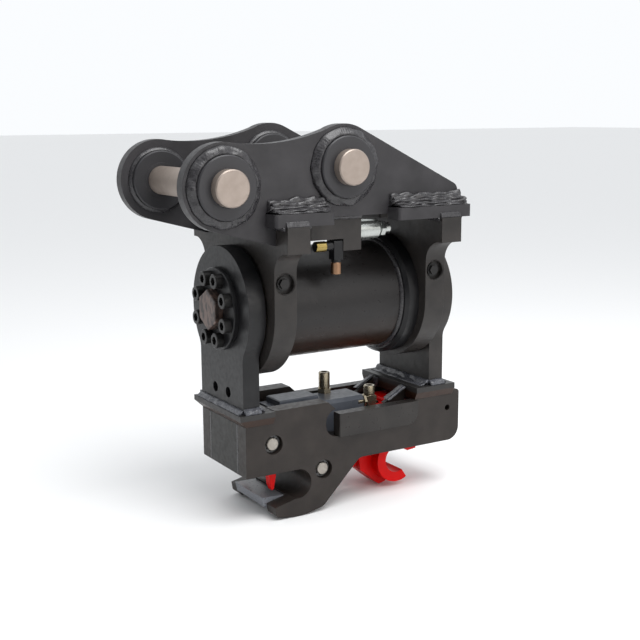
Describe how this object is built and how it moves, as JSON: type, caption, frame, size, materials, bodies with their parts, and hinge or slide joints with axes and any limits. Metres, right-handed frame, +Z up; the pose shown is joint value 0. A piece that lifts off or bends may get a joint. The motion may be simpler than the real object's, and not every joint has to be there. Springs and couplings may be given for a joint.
{
  "type": "tilting quick coupler",
  "caption": "Tilting quick coupler for a mini excavator: two arm pins between ears, a helical tilt actuator, a front pin jaw with latch and a sliding rear hook.",
  "frame": {"origin": "centre of the dipper pin, midway between the ears", "axes": "+X along the tilt axis from the front jaw to the rear hook, +Y along the dipper pin to the far side, +Z up"},
  "size_m": [0.4729, 0.284, 0.553],
  "materials": {
    "ear_paint": "dark grey, satin",
    "housing_paint": "black, satin",
    "hitch_paint": "warm grey, satin",
    "guard_paint": "near black, satin",
    "underside_paint": "warm grey, satin",
    "pin_steel": "turned, bright",
    "bush_bronze": "bronze, bored",
    "zinc_steel": "zinc plated",
    "dark_steel": "dark oxide",
    "machined_steel": "machined",
    "rod_chrome": "polished",
    "valve_steel": "zinc plated, bright",
    "fitting_steel": "yellow passivated",
    "elbow_paint": "black, with copper colour thread ends",
    "cylinder_paint": "grey, satin",
    "hook_red": "red, gloss",
    "latch_red": "red, gloss",
    "seal_rubber": "soft",
    "spring_steel": "oiled",
    "washer_bronze": "bronze, flat"
  },
  "bodies": {
    "upper_bracket": {"ear_near": "ear_paint", "ear_far": "ear_paint", "dipper_bosses": "ear_paint", "link_bosses": "ear_paint", "dipper_bushes": "dark_steel", "link_bushes": "dark_steel", "saddle_rear": "housing_paint", "saddle_front": "housing_paint", "saddle_plugs": "dark_steel", "barrel": "housing_paint", "barrel_collar": "housing_paint", "shelf_plates": "ear_paint", "top_plates": "housing_paint", "manifold_block": "housing_paint", "relief_valve": "valve_steel", "hose_elbow": "elbow_paint", "shaft_bushes": "bush_bronze", "shaft_seals": "seal_rubber", "ring_gear": "machined_steel"},
    "dipper_pin_body": {"dipper_pin": "pin_steel"},
    "link_pin_body": {"link_pin": "pin_steel"},
    "dipper_retainer": {"dipper_end_washer": "zinc_steel", "dipper_end_bolt": "zinc_steel"},
    "link_retainer": {"link_end_washer": "zinc_steel", "link_end_bolt": "zinc_steel"},
    "piston_seal_body": {"piston_seal": "seal_rubber"},
    "piston_body": {"tilt_piston": "machined_steel"},
    "hitch": {"tilt_shaft": "machined_steel", "end_plate_front": "housing_paint", "end_plate_rear": "housing_paint", "end_flange_front": "housing_paint", "end_flange_rear": "housing_paint", "flange_screws_front": "dark_steel", "flange_screws_rear": "dark_steel", "centre_plugs": "dark_steel", "thrust_washers": "washer_bronze", "cross_plate_front": "underside_paint", "cross_plate_rear": "underside_paint", "side_plate_near": "hitch_paint", "side_plate_far": "hitch_paint", "guard_bars": "guard_paint", "front_block": "hitch_paint", "jaw_liner": "hitch_paint", "lip_plate": "hitch_paint", "gussets": "hitch_paint", "rear_bar": "hitch_paint", "latch_pin": "pin_steel", "tie_pin": "pin_steel", "retaining_rings": "spring_steel", "tie_spacer": "dark_steel", "hook_cylinder": "cylinder_paint", "cylinder_cap": "cylinder_paint", "rod_gland": "cylinder_paint", "port_fittings": "fitting_steel"},
    "hook": {"rear_hook": "hook_red", "hook_piston": "machined_steel", "hook_rod": "rod_chrome"},
    "latch": {"jaw_latch": "latch_red", "latch_spring": "spring_steel"}
  },
  "joints": [
    {"name": "tilt", "type": "hinge", "parent": "upper_bracket", "child": "hitch", "pos_m": [0.215, 0, -0.175], "axis": [1, 0, 0], "range_deg": [-90, 90]},
    {"name": "piston_slide", "type": "slide", "parent": "upper_bracket", "child": "piston_seal_body", "axis": [1, 0, 0], "range_m": [-0.0241, 0.0241]},
    {"name": "piston_turn", "type": "hinge", "parent": "piston_seal_body", "child": "piston_body", "pos_m": [0.215, 0, -0.175], "axis": [1, 0, 0], "range_deg": [-46, 46]},
    {"name": "dipper_pin_slide", "type": "slide", "parent": "upper_bracket", "child": "dipper_pin_body", "axis": [0, -1, 0], "range_m": [0, 0.38]},
    {"name": "dipper_retainer_slide", "type": "slide", "parent": "upper_bracket", "child": "dipper_retainer", "axis": [0, 1, 0], "range_m": [0, 0.1]},
    {"name": "link_pin_slide", "type": "slide", "parent": "upper_bracket", "child": "link_pin_body", "axis": [0, -1, 0], "range_m": [0, 0.38]},
    {"name": "link_retainer_slide", "type": "slide", "parent": "upper_bracket", "child": "link_retainer", "axis": [0, 1, 0], "range_m": [0, 0.1]},
    {"name": "rear_hook_slide", "type": "slide", "parent": "hitch", "child": "hook", "axis": [1, 0, 0], "range_m": [-0.022, 0.008]},
    {"name": "jaw_latch_swing", "type": "hinge", "parent": "hitch", "child": "latch", "pos_m": [0.0903, 0, -0.3628], "axis": [0, -1, 0], "range_deg": [0, 60], "stiffness_Nm_per_rad": 0.3, "springref_deg": -22.92}
  ],
  "couplings": [
    {"joint": "piston_slide", "follows": "tilt", "m_per_rad": 0.015278},
    {"joint": "piston_turn", "follows": "tilt", "ratio": 0.5},
    {"joint": "dipper_retainer_slide", "follows": "dipper_pin_slide", "ratio": 0.25},
    {"joint": "link_retainer_slide", "follows": "link_pin_slide", "ratio": 0.25}
  ]
}
